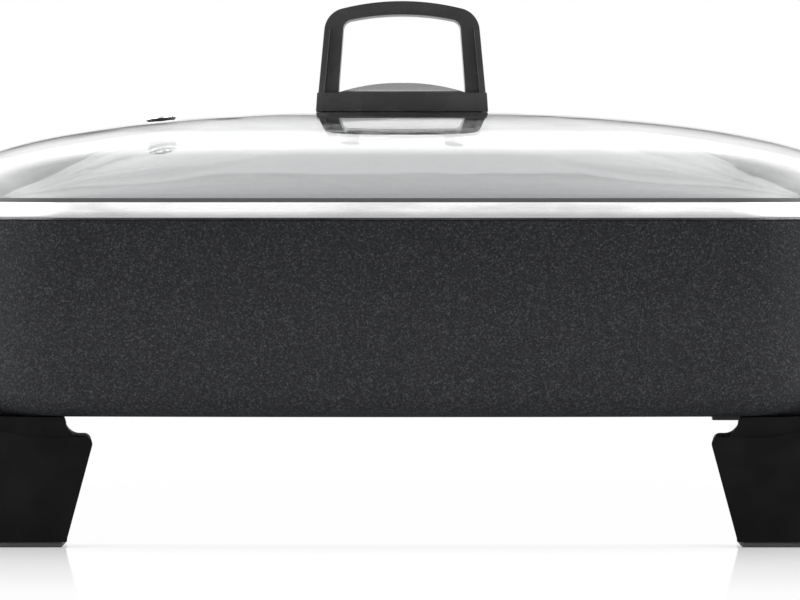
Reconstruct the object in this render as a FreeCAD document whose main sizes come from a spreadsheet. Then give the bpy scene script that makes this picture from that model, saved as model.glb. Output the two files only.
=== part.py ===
import FreeCAD, Part
import math
import os
from types import SimpleNamespace

import Sketcher
from FreeCAD import Rotation, Vector

# An electric skillet: a cast pan on two moulded handle-and-leg frames, a lift-off glass lid
# in a steel rim, and a plug-in heat control. +X is the right-hand end, +Y the back, and the
# origin lies on the table under the middle of the pan. Millimetres and degrees.

SIZES = [
    ("pan_length", 438.0), ("pan_width", 328.0), ("pan_corner", 70.0), ("pan_bow", 4.0),
    ("pan_draft", 3.0), ("pan_height", 87.5), ("pan_wall", 4.0), ("pan_floor", 5.0),
    ("pan_bottom_round", 11.0), ("pan_inner_round", 8.0), ("pan_underside", 57.8),
    ("boss_radius", 6.0), ("boss_height", 8.0), ("boss_x", 189.0), ("boss_y", 100.0),
    ("thread_skin", 1.0),
    ("element_radius", 2.4), ("element_span_x", 125.0), ("element_span_y", 70.0),
    ("element_bend", 30.0), ("pin_radius", 2.4), ("pin_spacing", 11.0), ("pin_length", 28.0),
    ("pin_height", 51.0), ("pin_start", 186.0), ("fit_gap", 0.05), ("body_gap", 0.3),
    ("bar_inner", 178.0), ("bar_width", 22.0), ("bar_half_span", 148.5), ("bar_depth", 16.8),
    ("bar_gap_half", 42.0), ("neck_inner", 148.3), ("neck_web", 4.0),
    ("leg_inner_top", 135.7), ("leg_shoulder", 49.0), ("leg_flare_x", 200.0),
    ("leg_flare_height", 56.0), ("leg_outer_foot", 186.0), ("leg_slope", 15.5),
    ("leg_front", 150.0),
    ("leg_thickness", 28.0), ("leg_round", 3.0), ("back_leg_foot", 202.0),
    ("back_leg_top", 210.0),
    ("pad_height", 2.6), ("pad_inset", 2.0),
    ("arm_half_span", 82.0), ("arm_thickness", 20.0), ("arm_rise_x", 230.0),
    ("arm_round", 9.0), ("grip_inner", 250.0), ("grip_depth", 27.0), ("grip_height", 18.0),
    ("grip_bottom", 95.0), ("grip_round", 7.5),
    ("screw_radius", 1.95), ("screw_clearance", 0.65), ("screw_head_radius", 4.2),
    ("screw_head_height", 2.6), ("washer_radius", 5.6), ("washer_thickness", 0.8),
    ("guard_start", 182.0), ("guard_length", 40.0), ("guard_half_width", 30.0),
    ("guard_height", 17.8), ("guard_wall", 2.0), ("ear_reach", 10.0), ("ear_length", 12.0),
    ("ear_thickness", 3.0), ("guard_screw_radius", 1.6), ("guard_head_radius", 3.2),
    ("guard_hole_depth", 3.0), ("guard_screw_reach", 2.5),
    ("sleeve_start", 150.0), ("sleeve_wall", 1.55), ("rod_radius", 3.0),
    ("rod_start", 153.0), ("rod_length", 92.0),
    ("lid_lap", 1.0), ("lid_band", 1.2), ("lid_band_height", 7.8),
    ("lid_flange", 12.0), ("lid_flange_thickness", 1.5), ("lid_skirt_gap", 1.0),
    ("lid_skirt", 1.0), ("lid_skirt_depth", 6.0), ("seal_thickness", 1.6), ("seal_proud", 1.2),
    ("seal_play", 0.15), ("vent_play", 0.6),
    ("glass_thickness", 4.0), ("glass_edge", 5.5), ("glass_rise", 43.5),
    ("vent_x", 116.0), ("vent_radius", 8.0), ("vent_tube", 5.2), ("vent_wall", 1.0),
    ("vent_flange", 1.5), ("vent_gasket", 1.3), ("vent_lip", 1.0),
    ("lid_gasket", 0.5), ("handle_half_length", 41.1), ("handle_half_width", 20.0),
    ("handle_base_height", 9.0), ("handle_crown", 5.2), ("base_lean", 0.6), ("gasket_inset", 2.5),
    ("fin_thickness", 3.0), ("fin_lean", 3.9), ("fin_top", 39.5), ("fin_half_width", 14.0),
    ("arch_half_width", 12.0), ("arch_shoulder", 28.0), ("arch_shoulder_height", 49.6),
    ("arch_rise", 3.4), ("arch_corner_rise", 2.3), ("gap_half_bottom", 30.8),
    ("gap_half_top", 27.8),
    ("gap_height", 43.4), ("gap_rise", 3.2), ("arch_round", 4.5),
    ("handle_screw_x", 25.0), ("handle_screw_radius", 2.4), ("handle_screw_reach", 7.0),
    ("handle_head_radius", 4.8),
    ("glass_hole_radius", 5.0), ("plate_half_length", 36.0), ("plate_half_width", 15.0),
    ("plate_thickness", 1.5),
    ("probe_start", 228.0), ("probe_length", 102.0), ("probe_half_width", 27.0),
    ("probe_half_height", 14.0), ("probe_split", 52.0), ("probe_wall", 2.2),
    ("probe_corner", 11.0), ("probe_round", 5.0),
    ("post_radius", 3.5), ("post_y", 20.0), ("post_inset", 14.0), ("post_head", 3.0),
    ("probe_screw", 1.5), ("probe_screw_head", 2.6), ("probe_head_height", 1.8),
    ("block_start", 214.0), ("block_length", 22.0), ("block_half_width", 18.0),
    ("block_half_height", 4.4), ("socket_start", 192.0), ("socket_length", 46.0),
    ("socket_wall", 1.05), ("plate_start", 240.0), ("plate_length", 70.0),
    ("base_half_width", 15.0), ("base_thickness", 1.5), ("blade_length", 44.0),
    ("blade_width", 7.0), ("blade_offset", 4.0), ("blade_thickness", 0.8),
    ("blade_foot", 6.0), ("bimetal_height", 6.3), ("contact_height", 3.6),
    ("dial_x", 300.0), ("dial_radius", 20.0), ("dial_height", 10.5), ("dial_edge", 1.4),
    ("dial_ridge_width", 7.0), ("dial_ridge_height", 3.0), ("dial_ridge_inset", 1.5),
    ("dial_lift", 0.5), ("shaft_radius", 3.0), ("shaft_bottom", 50.0), ("cam_radius", 7.0),
    ("cam_thickness", 3.0), ("shaft_engage", 7.0), ("lens_x", 262.0), ("lens_radius", 3.0),
    ("lens_proud", 0.8), ("lens_flange", 1.2), ("gland_radius", 5.0), ("gland_reach", 12.0),
    ("gland_tip", 4.4), ("gland_bore", 3.2), ("gland_flange", 2.0),
]

DOME_POWER = 2.2
DOME_STEPS = (1.0, 0.985, 0.95, 0.88, 0.76, 0.58, 0.3)
SIDES = (1, -1)

doc = FreeCAD.newDocument("electric_skillet")


# Sizes: a value of the sheet, with the expression that keeps a feature bound to it.

class Size:
    def __init__(self, value, text):
        self.value = value
        self.text = text

    def join(self, sign, other, value):
        text = other.text if isinstance(other, Size) else repr(other)
        return Size(value, f"({self.text} {sign} {text})")

    def __add__(self, other):
        return self.join("+", other, self.value + plain(other))

    def __sub__(self, other):
        return self.join("-", other, self.value - plain(other))

    def __mul__(self, other):
        return self.join("*", other, self.value * plain(other))

    def __truediv__(self, other):
        return self.join("/", other, self.value / plain(other))

    def __neg__(self):
        return Size(-self.value, f"(-1 * {self.text})")


def plain(size):
    return size.value if isinstance(size, Size) else float(size)


nothing = Size(0.0, "0.0")


def fill_sheet():
    sheet = doc.addObject("Spreadsheet::Sheet", "Sizes")
    sizes = SimpleNamespace()
    for row, (name, value) in enumerate(SIZES, start=1):
        sheet.set(f"A{row}", str(value))
        sheet.setAlias(f"A{row}", name)
        setattr(sizes, name, Size(value, f"Sizes.{name}"))
    doc.recompute()
    return sizes


s = fill_sheet()


def bind(item, path, size):
    item.setExpression(path, size.text if isinstance(size, Size) else repr(float(size)))


# Sketch outlines: every corner and radius is a constraint bound to the sheet.

def hold_point(sketch, element, end, x, y):
    for kind, size in (("DistanceX", x), ("DistanceY", y)):
        number = sketch.addConstraint(Sketcher.Constraint(kind, -1, 1, element, end, plain(size)))
        bind(sketch, f"Constraints[{number}]", size)


def hold_radius(sketch, element, radius):
    number = sketch.addConstraint(Sketcher.Constraint("Radius", element, plain(radius)))
    bind(sketch, f"Constraints[{number}]", radius)


def circle(sketch, x, y, radius):
    element = sketch.addGeometry(
        Part.Circle(Vector(plain(x), plain(y), 0), Vector(0, 0, 1), plain(radius)))
    hold_point(sketch, element, 3, x, y)
    hold_radius(sketch, element, radius)


def profile(sketch, corners):
    """Joins (x, y) corners anticlockwise; a third item is the outward rise of an arc."""
    first = sketch.GeometryCount
    count = len(corners)
    for index, corner in enumerate(corners):
        after = corners[(index + 1) % count]
        start = Vector(plain(corner[0]), plain(corner[1]), 0)
        end = Vector(plain(after[0]), plain(after[1]), 0)
        if len(corner) > 2:
            run = (end - start) / 2
            out = Vector(run.y, -run.x, 0).normalize() * plain(corner[2])
            sketch.addGeometry(Part.Arc(start, start + run + out, end))
        else:
            sketch.addGeometry(Part.LineSegment(start, end))
    for index, corner in enumerate(corners):
        after = corners[(index + 1) % count]
        sketch.addConstraint(Sketcher.Constraint(
            "Coincident", first + index, 2, first + (index + 1) % count, 1))
        hold_point(sketch, first + index, 1, corner[0], corner[1])
        if len(corner) > 2:
            across = after[0] - corner[0]
            up = after[1] - corner[1]
            rise = corner[2]
            hold_radius(sketch, first + index,
                        ((across * across + up * up) / 4 + rise * rise) / (rise * 2))


def rectangle(sketch, x, y):
    profile(sketch, [(x[0], y[0]), (x[1], y[0]), (x[1], y[1]), (x[0], y[1])])


def pan_outline(sketch, half_length, half_width, corner, bow):
    """Four slightly bowed sides that run smoothly into four corner arcs."""
    end_radius = ((half_width - corner) * (half_width - corner) + bow * bow) / (bow * 2)
    side_radius = ((half_length - corner) * (half_length - corner) + bow * bow) / (bow * 2)
    end_x = half_length - end_radius
    side_y = half_width - side_radius
    inner_side = plain(side_radius) - plain(corner)
    inner_end = plain(end_radius) - plain(corner)
    gap = math.hypot(plain(end_x), plain(side_y))
    along = (inner_side ** 2 - inner_end ** 2 + gap ** 2) / (2 * gap)
    across = math.sqrt(inner_side ** 2 - along ** 2)
    cross_x = plain(end_x) / gap
    cross_y = plain(side_y) / gap
    corner_x = along * cross_x - across * cross_y
    corner_y = plain(side_y) - along * cross_y - across * cross_x
    turn_end = math.atan2(corner_y, corner_x - plain(end_x))
    turn_side = math.atan2(corner_y - plain(side_y), corner_x)
    half_turn = math.pi
    arcs = [
        (plain(end_x), 0, end_radius, -turn_end, turn_end),
        (corner_x, corner_y, corner, turn_end, turn_side),
        (0, plain(side_y), side_radius, turn_side, half_turn - turn_side),
        (-corner_x, corner_y, corner, half_turn - turn_side, half_turn - turn_end),
        (-plain(end_x), 0, end_radius, half_turn - turn_end, half_turn + turn_end),
        (-corner_x, -corner_y, corner, half_turn + turn_end, half_turn + turn_side),
        (0, -plain(side_y), side_radius, half_turn + turn_side, 2 * half_turn - turn_side),
        (corner_x, -corner_y, corner, 2 * half_turn - turn_side, 2 * half_turn - turn_end),
    ]
    first = sketch.GeometryCount
    for x, y, radius, start, end in arcs:
        round_part = Part.Circle(Vector(x, y, 0), Vector(0, 0, 1), plain(radius))
        sketch.addGeometry(Part.ArcOfCircle(round_part, start, end))
    for index, arc in enumerate(arcs):
        sketch.addConstraint(Sketcher.Constraint(
            "Tangent", first + index, 2, first + (index + 1) % len(arcs), 1))
        hold_radius(sketch, first + index, arc[2])
    for index, sign in ((0, 1), (4, -1)):
        sketch.addConstraint(Sketcher.Constraint("PointOnObject", first + index, 3, -1))
        number = sketch.addConstraint(Sketcher.Constraint(
            "DistanceX", -1, 1, first + index, 3, plain(end_x) * sign))
        bind(sketch, f"Constraints[{number}]", end_x * sign)
    for index, sign in ((2, 1), (6, -1)):
        sketch.addConstraint(Sketcher.Constraint("PointOnObject", first + index, 3, -2))
        number = sketch.addConstraint(Sketcher.Constraint(
            "DistanceY", -1, 1, first + index, 3, plain(side_y) * sign))
        bind(sketch, f"Constraints[{number}]", side_y * sign)


# Pieces: a body with the few features that this object needs.

class Piece:
    def __init__(self, label):
        self.body = doc.addObject("PartDesign::Body", label)
        self.body.Label = label

    def sketch(self, plane, offset):
        item = self.body.newObject("Sketcher::SketchObject", f"{self.body.Name}_sketch")
        support = [f for f in self.body.Origin.OriginFeatures if f.Role == plane][0]
        item.AttachmentSupport = (support, [""])
        item.MapMode = "FlatFace"
        bind(item, "AttachmentOffset.Base.z", offset)
        return item

    def feature(self, kind, sketch, length, reverse=False, taper=None):
        item = self.body.newObject(f"PartDesign::{kind}", f"{self.body.Name}_{kind}")
        item.Profile = sketch
        bind(item, "Length", length)
        item.Reversed = reverse
        if taper is not None:
            bind(item, "TaperAngle", taper)
        doc.recompute()
        if "Invalid" in item.State:
            raise ValueError(f"{item.Label} did not compute: {item.getStatusString()}")
        return item

    def pad_up(self, draw, bottom, top):
        sketch = self.sketch("XY_Plane", bottom)
        draw(sketch)
        return self.feature("Pad", sketch, top - bottom)

    def pad_back(self, draw, front, back):
        sketch = self.sketch("XZ_Plane", -back)
        draw(sketch)
        return self.feature("Pad", sketch, back - front)

    def pad_right(self, draw, left, right):
        sketch = self.sketch("YZ_Plane", left)
        draw(sketch)
        return self.feature("Pad", sketch, right - left)

    def cut_down(self, draw, top, bottom, taper=None):
        sketch = self.sketch("XY_Plane", top)
        draw(sketch)
        return self.feature("Pocket", sketch, top - bottom, False, taper)

    def cut_back(self, draw, front, back):
        sketch = self.sketch("XZ_Plane", -front)
        draw(sketch)
        return self.feature("Pocket", sketch, back - front)

    def cut_left(self, draw, right, left):
        sketch = self.sketch("YZ_Plane", right)
        draw(sketch)
        return self.feature("Pocket", sketch, right - left)

    def dome(self, kind, half_length, half_width, corner, bow, base, rise):
        sections = []
        for step in DOME_STEPS:
            height = (1 - step ** DOME_POWER) ** (1 / DOME_POWER)
            section = self.sketch("XY_Plane", base + rise * height)
            pan_outline(section, half_length * step, half_width * step, corner * step, bow * step)
            sections.append(section)
        item = self.body.newObject(f"PartDesign::{kind}", f"{self.body.Name}_{kind}")
        item.Profile = sections[0]
        item.Sections = sections[1:]
        doc.recompute()
        return item

    def revolve(self, corners, axis):
        sketch = self.sketch("XZ_Plane", nothing)
        profile(sketch, corners)
        item = self.body.newObject("PartDesign::Revolution", f"{self.body.Name}_turned")
        item.Profile = sketch
        item.ReferenceAxis = (sketch, [axis])
        item.Angle = 360
        doc.recompute()
        return item

    def round_edges(self, picked, radius, kind="Fillet"):
        base = self.body.Tip
        names = [f"Edge{i + 1}" for i, edge in enumerate(base.Shape.Edges) if picked(edge)]
        if not names:
            raise ValueError(f"{self.body.Label}: no edge to round")
        item = self.body.newObject(f"PartDesign::{kind}", f"{self.body.Name}_{kind}")
        item.Base = (base, names)
        bind(item, "Radius" if kind == "Fillet" else "Size", radius)
        doc.recompute()
        return item


def level_edge(height):
    def picked(edge):
        box = edge.BoundBox
        return abs(box.ZMin - plain(height)) < 0.01 and abs(box.ZMax - plain(height)) < 0.01
    return picked


def along_y_at(*places):
    def picked(edge):
        box = edge.BoundBox
        if max(box.XLength, box.ZLength) > 0.01:
            return False
        return any(math.hypot(box.XMin - plain(x), box.ZMin - plain(z)) < 0.1
                   for x, z in places)
    return picked


def upright_edge(edge):
    box = edge.BoundBox
    return box.XLength < 0.01 and box.YLength < 0.01


def group(label, shapes):
    item = doc.addObject("Part::Compound", label)
    item.Links = shapes
    item.Label = label
    return item


def cut(label, base, tool):
    item = doc.addObject("Part::Cut", label)
    item.Base = base
    item.Tool = tool
    item.Label = label
    return item


def common(label, base, tool):
    item = doc.addObject("Part::Common", label)
    item.Base = base
    item.Tool = tool
    item.Label = label
    return item


def fuse(*shapes):
    item = doc.addObject("Part::MultiFuse", "joined")
    item.Shapes = list(shapes)
    return item


def block(x, y, z):
    item = doc.addObject("Part::Box", "block")
    for name, pair, place in (("Length", x, "x"), ("Width", y, "y"), ("Height", z, "z")):
        bind(item, name, pair[1] - pair[0])
        bind(item, f"Placement.Base.{place}", pair[0])
    return item


def rod(radius, length, x, y, z, turn=None):
    item = doc.addObject("Part::Cylinder", "rod")
    bind(item, "Radius", radius)
    bind(item, "Height", length)
    if turn:
        item.Placement.Rotation = Rotation(*turn)
    for name, size in (("x", x), ("y", y), ("z", z)):
        bind(item, f"Placement.Base.{name}", size)
    return item


TO_RIGHT = (Vector(0, 1, 0), 90)

pan_top = s.pan_underside + s.pan_height
bar_bottom = s.pan_underside - s.bar_depth
bar_outer = s.bar_inner + s.bar_width
lid_bottom = pan_top + s.body_gap
glass_bottom = lid_bottom + s.lid_flange_thickness
dome_base = glass_bottom + s.glass_edge
FLAT_SHARE = (1 - DOME_STEPS[-1] ** DOME_POWER) ** (1 / DOME_POWER)
glass_top = dome_base + s.glass_rise * FLAT_SHARE
glass_under = dome_base + (s.glass_rise - s.glass_thickness) * FLAT_SHARE
handle_bottom = glass_top + s.lid_gasket
lid_half_length = s.pan_length / 2 + s.lid_lap
lid_half_width = s.pan_width / 2 + s.lid_lap
seal_half_length = lid_half_length - s.lid_band
seal_half_width = lid_half_width - s.lid_band
glass_half_length = seal_half_length - s.seal_thickness - s.seal_play
glass_half_width = seal_half_width - s.seal_thickness - s.seal_play
rim_corner = s.pan_corner + s.lid_lap


def rim(inset):
    """The lid's outline, drawn in by an inset all round."""
    def draw(sketch):
        pan_outline(sketch, lid_half_length - inset, lid_half_width - inset,
                    rim_corner - inset, s.pan_bow)
    return draw


# The pan: cast aluminium, with drafted walls and screw bosses under its floor.

def make_pan():
    pan = Piece("pan")
    outer = pan.sketch("XY_Plane", pan_top)
    pan_outline(outer, s.pan_length / 2, s.pan_width / 2, s.pan_corner, s.pan_bow)
    pan.feature("Pad", outer, s.pan_height, True, -s.pan_draft)
    pan.round_edges(level_edge(s.pan_underside), s.pan_bottom_round)

    def cavity(sketch):
        pan_outline(sketch, s.pan_length / 2 - s.pan_wall, s.pan_width / 2 - s.pan_wall,
                    s.pan_corner - s.pan_wall, s.pan_bow)
    floor_level = s.pan_underside + s.pan_floor
    pan.cut_down(cavity, pan_top, floor_level, -s.pan_draft)
    pan.round_edges(level_edge(floor_level), s.pan_inner_round)

    def bosses(radius):
        def draw(sketch):
            for x_sign in SIDES:
                for y_sign in SIDES:
                    circle(sketch, s.boss_x * x_sign, s.boss_y * y_sign, radius)
        return draw
    boss_end = s.pan_underside - s.boss_height
    pan.pad_up(bosses(s.boss_radius), boss_end, s.pan_underside)
    thread_end = s.pan_underside - s.thread_skin
    pan.cut_down(bosses(s.screw_radius + s.fit_gap), thread_end, boss_end)

    def guard_holes(sketch):
        for sign in SIDES:
            circle(sketch, ear_x, ear_y * sign, s.guard_screw_radius + s.fit_gap)
    pan.cut_down(guard_holes, s.pan_underside + s.guard_hole_depth, s.pan_underside)


ear_x = s.guard_start + s.guard_wall + s.ear_length / 2
ear_y = s.guard_half_width + s.ear_reach / 2


# The heater: a sheathed element brazed under the pan, its two cold ends carrying the pins.

def bent_wire(points, bend):
    edges = []
    last = points[0]
    for before, corner, after in zip(points, points[1:], points[2:]):
        back = (before - corner).normalize()
        ahead = (after - corner).normalize()
        half_angle = back.getAngle(ahead) / 2
        reach = min(bend / math.tan(half_angle), 0.45 * min((before - corner).Length,
                                                            (after - corner).Length))
        start = corner + back * reach
        end = corner + ahead * reach
        radius = reach * math.tan(half_angle)
        middle = corner + (back + ahead).normalize() * (radius / math.sin(half_angle) - radius)
        edges.append(Part.LineSegment(last, start).toShape())
        edges.append(Part.Arc(start, middle, end).toShape())
        last = end
    edges.append(Part.LineSegment(last, points[-1]).toShape())
    return Part.Wire(edges)


def make_element():
    loop_height = (s.pan_underside - s.element_radius - s.fit_gap).value
    far_x = s.element_span_x.value
    far_y = s.element_span_y.value
    cold = s.pin_spacing.value
    level = s.pin_height.value
    clear_x = s.bar_inner.value - 2 * s.element_radius.value
    half = [
        Vector(s.pin_start.value, cold, level),
        Vector(clear_x, cold, level),
        Vector(far_x, 2 * cold, loop_height),
        Vector(far_x, far_y, loop_height),
        Vector(-far_x, far_y, loop_height),
    ]
    route = half + [Vector(p.x, -p.y, p.z) for p in reversed(half)]
    wire = bent_wire(route, s.element_bend.value)
    section = Part.Wire(Part.Circle(route[0], Vector(1, 0, 0), s.element_radius.value).toShape())
    item = doc.addObject("Part::Feature", "heating_element")
    item.Shape = wire.makePipeShell([section], True, False)
    item.Label = "heating_element"


def make_terminal_pins():
    pins = [rod(s.pin_radius, s.pin_length, s.pin_start, s.pin_spacing * sign, s.pin_height,
                TO_RIGHT) for sign in SIDES]
    group("terminal_pins", pins)


def make_probe_sleeve():
    length = s.guard_start + s.guard_wall - s.sleeve_start
    bore = s.rod_radius + s.fit_gap
    tube = rod(bore + s.sleeve_wall, length, s.sleeve_start, nothing, s.pin_height, TO_RIGHT)
    hole = rod(bore, length, s.sleeve_start, nothing, s.pin_height, TO_RIGHT)
    cut("probe_sleeve", tube, hole)


def make_terminal_guard():
    guard = Piece("terminal_guard")
    end = s.guard_start + s.guard_length
    bottom = s.pan_underside - s.guard_height
    half = s.guard_half_width
    wide = half + s.ear_reach

    def shell(sketch):
        rectangle(sketch, (-half, half), (bottom, s.pan_underside))
    guard.pad_right(shell, s.guard_start, end)

    def ears(sketch):
        rectangle(sketch, (-wide, wide), (s.pan_underside - s.ear_thickness, s.pan_underside))
    ear_start = s.guard_start + s.guard_wall
    guard.pad_right(ears, ear_start, ear_start + s.ear_length)

    def mouth(sketch):
        rectangle(sketch, (-half + s.guard_wall, half - s.guard_wall),
                  (bottom + s.guard_wall, s.pan_underside - s.guard_wall))
    guard.cut_left(mouth, end, ear_start)

    def back_holes(sketch):
        circle(sketch, nothing, s.pin_height, s.rod_radius + s.fit_gap + s.sleeve_wall)
        for sign in SIDES:
            circle(sketch, s.pin_spacing * sign, s.pin_height, s.element_radius)
    guard.cut_left(back_holes, ear_start, s.guard_start)

    def ear_holes(sketch):
        for sign in SIDES:
            circle(sketch, ear_x, ear_y * sign, s.guard_screw_radius + s.fit_gap)
    guard.cut_down(ear_holes, s.pan_underside, s.pan_underside - s.ear_thickness)


def make_guard_screws():
    screws = []
    seat = s.pan_underside - s.ear_thickness
    for sign in SIDES:
        shank = rod(s.guard_screw_radius, s.ear_thickness + s.guard_screw_reach,
                    ear_x, ear_y * sign, seat)
        head = rod(s.guard_head_radius, s.guard_screw_radius, ear_x, ear_y * sign,
                   seat - s.guard_screw_radius)
        screws.append(fuse(shank, head))
    group("guard_screws", screws)


# The handle-and-leg frames: one black moulding at each end. Its back leg stands further out
# than its front leg, which hides it from the front.


def make_frame(label, sign):
    frame = Piece(label)
    leg_inner = s.leg_front - s.leg_thickness

    def span(low, high):
        return (low, high) if sign > 0 else (-high, -low)

    def mirrored(corners):
        if sign > 0:
            return corners
        return [(-x, y) for x, y in reversed(corners)]

    reach = s.grip_inner + s.grip_depth
    arm_floor = bar_bottom + s.leg_round
    arm_top = s.grip_bottom + s.grip_height

    def grip(sketch):
        rectangle(sketch, span(s.grip_inner, reach), (s.grip_bottom, arm_top))
    frame.pad_back(grip, -s.arm_half_span, s.arm_half_span)

    arm = mirrored([
        (bar_outer - s.leg_round, arm_floor), (s.arm_rise_x, arm_floor),
        (s.arm_rise_x + s.grip_depth, arm_floor + s.grip_depth),
        (reach, s.grip_bottom), (reach, arm_top), (s.grip_inner, arm_top),
        (s.grip_inner, s.grip_bottom),
        (s.arm_rise_x + s.leg_round, s.pan_underside + s.arm_round),
        (s.pan_length / 2 - s.leg_round, s.pan_underside - s.leg_round),
        (bar_outer - s.leg_round, s.pan_underside - s.leg_round)])
    arm_inner = s.arm_half_span - s.arm_thickness
    for low, high in ((arm_inner, s.arm_half_span), (-s.arm_half_span, -arm_inner)):
        frame.pad_back(lambda sketch: profile(sketch, arm), low, high)

    def bars(sketch):
        for low, high in ((s.bar_gap_half, s.bar_half_span), (-s.bar_half_span, -s.bar_gap_half)):
            rectangle(sketch, span(s.bar_inner, bar_outer), (low, high))
    frame.pad_up(bars, bar_bottom, s.pan_underside)

    def neck(sketch):
        rectangle(sketch, span(s.neck_inner, s.bar_inner), (-s.bar_half_span, -leg_inner))
    frame.pad_up(neck, bar_bottom, s.pan_underside)

    front_leg = mirrored([
        (s.neck_inner, s.pad_height), (s.leg_outer_foot, s.pad_height),
        (s.leg_flare_x - s.leg_round, bar_bottom - s.leg_round),
        (s.leg_flare_x, s.leg_flare_height), (s.bar_inner, s.leg_shoulder + s.leg_round),
        (s.bar_inner - s.leg_slope, s.leg_shoulder), (s.leg_inner_top, s.leg_shoulder)])
    frame.pad_back(lambda sketch: profile(sketch, front_leg), -s.leg_front, -leg_inner)
    back_leg = mirrored([
        (s.bar_inner, s.pad_height), (s.back_leg_foot, s.pad_height),
        (s.back_leg_top, s.leg_flare_height), (s.bar_inner, s.leg_flare_height)])
    frame.pad_back(lambda sketch: profile(sketch, back_leg), leg_inner, s.leg_front)
    web = mirrored([
        (s.neck_inner - s.neck_web, s.leg_shoulder), (s.neck_inner + s.neck_web, s.leg_shoulder),
        (s.neck_inner + s.neck_web, s.leg_shoulder + s.neck_web + s.neck_web)])
    frame.pad_back(lambda sketch: profile(sketch, web), -s.bar_half_span, -leg_inner)

    def boss_pockets(sketch):
        for side in SIDES:
            circle(sketch, s.boss_x * sign, s.boss_y * side, s.boss_radius + s.fit_gap)
    boss_end = s.pan_underside - s.boss_height
    frame.cut_down(boss_pockets, s.pan_underside, boss_end)

    def screw_holes(sketch):
        for side in SIDES:
            circle(sketch, s.boss_x * sign, s.boss_y * side, s.screw_radius + s.screw_clearance)
    frame.cut_down(screw_holes, boss_end, bar_bottom)
    frame.round_edges(along_y_at(
        (reach * sign, arm_top), (s.grip_inner * sign, arm_top)), s.grip_round)
    frame.round_edges(along_y_at((s.leg_inner_top * sign, s.leg_shoulder)), s.leg_round)
    frame.round_edges(along_y_at(
        (s.arm_rise_x * sign, arm_floor),
        ((s.arm_rise_x + s.grip_depth) * sign, arm_floor + s.grip_depth),
        ((s.arm_rise_x + s.leg_round) * sign, s.pan_underside + s.arm_round)), s.arm_round)


def make_leg_screws():
    screws = []
    washers = []
    seat = bar_bottom - s.washer_thickness
    for x_sign in SIDES:
        for y_sign in SIDES:
            x = s.boss_x * x_sign
            y = s.boss_y * y_sign
            length = s.pan_underside - s.thread_skin - s.body_gap - seat
            shank = rod(s.screw_radius, length, x, y, seat)
            head = rod(s.screw_head_radius, s.screw_head_height, x, y,
                       seat - s.screw_head_height)
            screws.append(fuse(shank, head))
            ring = rod(s.washer_radius, s.washer_thickness, x, y, seat)
            hole = rod(s.screw_radius + s.fit_gap, s.washer_thickness, x, y, seat)
            washers.append(cut("washer", ring, hole))
    group("leg_screws", screws)
    group("leg_washers", washers)


def make_foot_pads():
    pads = []
    inset = s.pad_inset
    for x_sign in SIDES:
        for y_sign in SIDES:
            x = (s.neck_inner + inset, s.leg_outer_foot - inset)
            if y_sign > 0:
                x = (s.bar_inner + inset, s.back_leg_foot - inset)
            y = (s.leg_front - s.leg_thickness + inset, s.leg_front - inset)
            x = x if x_sign > 0 else (-x[1], -x[0])
            y = y if y_sign > 0 else (-y[1], -y[0])
            pads.append(block(x, y, (nothing, s.pad_height)))
    group("foot_pads", pads)


# The lid: a domed glass in a steel rim, with a vent and a moulded handle.

def make_lid_rim():
    lid_rim = Piece("lid_rim")

    def ring(outer, inner):
        def draw(sketch):
            rim(outer)(sketch)
            rim(inner)(sketch)
        return draw
    lid_rim.pad_up(ring(nothing, s.lid_flange), lid_bottom, glass_bottom)
    lid_rim.pad_up(ring(nothing, s.lid_band), glass_bottom, lid_bottom + s.lid_band_height)
    skirt = s.lid_lap + s.pan_wall + s.lid_skirt_gap
    lid_rim.pad_up(ring(skirt, skirt + s.lid_skirt), lid_bottom - s.lid_skirt_depth, lid_bottom)


def make_lid_seal():
    seal = Piece("lid_seal")

    def draw(sketch):
        rim(s.lid_band)(sketch)
        rim(s.lid_band + s.seal_thickness)(sketch)
    seal.pad_up(draw, glass_bottom, lid_bottom + s.lid_band_height + s.seal_proud)


def make_lid_glass():
    glass = Piece("lid_glass")
    inset = s.lid_band + s.seal_thickness + s.seal_play
    corner = rim_corner - inset
    wall = s.glass_thickness
    glass.pad_up(rim(inset), glass_bottom, dome_base)
    glass.dome("AdditiveLoft", glass_half_length, glass_half_width, corner, s.pan_bow,
               dome_base, s.glass_rise)
    glass.cut_down(rim(inset + wall), dome_base, glass_bottom)
    glass.dome("SubtractiveLoft", glass_half_length - wall, glass_half_width - wall,
               corner - wall, s.pan_bow, dome_base, s.glass_rise - wall)

    def holes(sketch):
        for sign in SIDES:
            circle(sketch, s.handle_screw_x * sign, nothing, s.glass_hole_radius)
        circle(sketch, -s.vent_x, nothing, vent_hole)
    glass.cut_down(holes, glass_top + s.glass_thickness, dome_base + s.glass_edge)


vent_hole = s.vent_tube + s.vent_gasket + s.vent_play


def on_vent(piece):
    """Stands a piece on the glass at the vent, square to the dome."""
    share = plain(s.vent_x) / plain(glass_half_length)
    left = 1 - share ** DOME_POWER
    height = plain(dome_base) + plain(s.glass_rise) * left ** (1 / DOME_POWER)
    slope = (plain(s.glass_rise) / plain(glass_half_length)
             * share ** (DOME_POWER - 1) * left ** (1 / DOME_POWER - 1))
    piece.body.Placement = FreeCAD.Placement(
        Vector(-plain(s.vent_x), 0, height),
        Rotation(Vector(0, 1, 0), -math.degrees(math.atan(slope))))


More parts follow.
